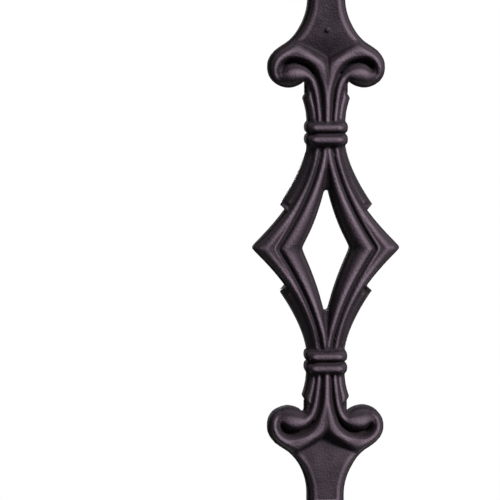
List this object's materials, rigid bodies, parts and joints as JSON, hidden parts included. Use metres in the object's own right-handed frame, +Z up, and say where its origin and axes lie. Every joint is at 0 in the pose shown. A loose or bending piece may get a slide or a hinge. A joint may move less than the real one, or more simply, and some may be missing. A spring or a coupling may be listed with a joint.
{
  "type": "stair baluster",
  "caption": "Slender upright stair baluster in black iron: a hammered square bar with scrolled, pierced diamond castings welded in line, set between a tread and a handrail.",
  "frame": {"origin": "centre of the foot end, where the bar stands in the tread", "axes": "+Z up along the bar to the head end, the castings' broad faces look along -Y and +Y, +X to the right seen from the front"},
  "size_m": [0.0628, 0.0184, 1.1176],
  "materials": {
    "bar_paint": "satin black paint over hammered steel",
    "casting_paint": "satin black paint over a fine cast grain"
  },
  "bodies": {
    "root": {"lower_bar": "bar_paint", "lower_casting": "casting_paint", "middle_bar": "bar_paint", "upper_casting": "casting_paint", "upper_bar": "bar_paint"}
  },
  "joints": []
}
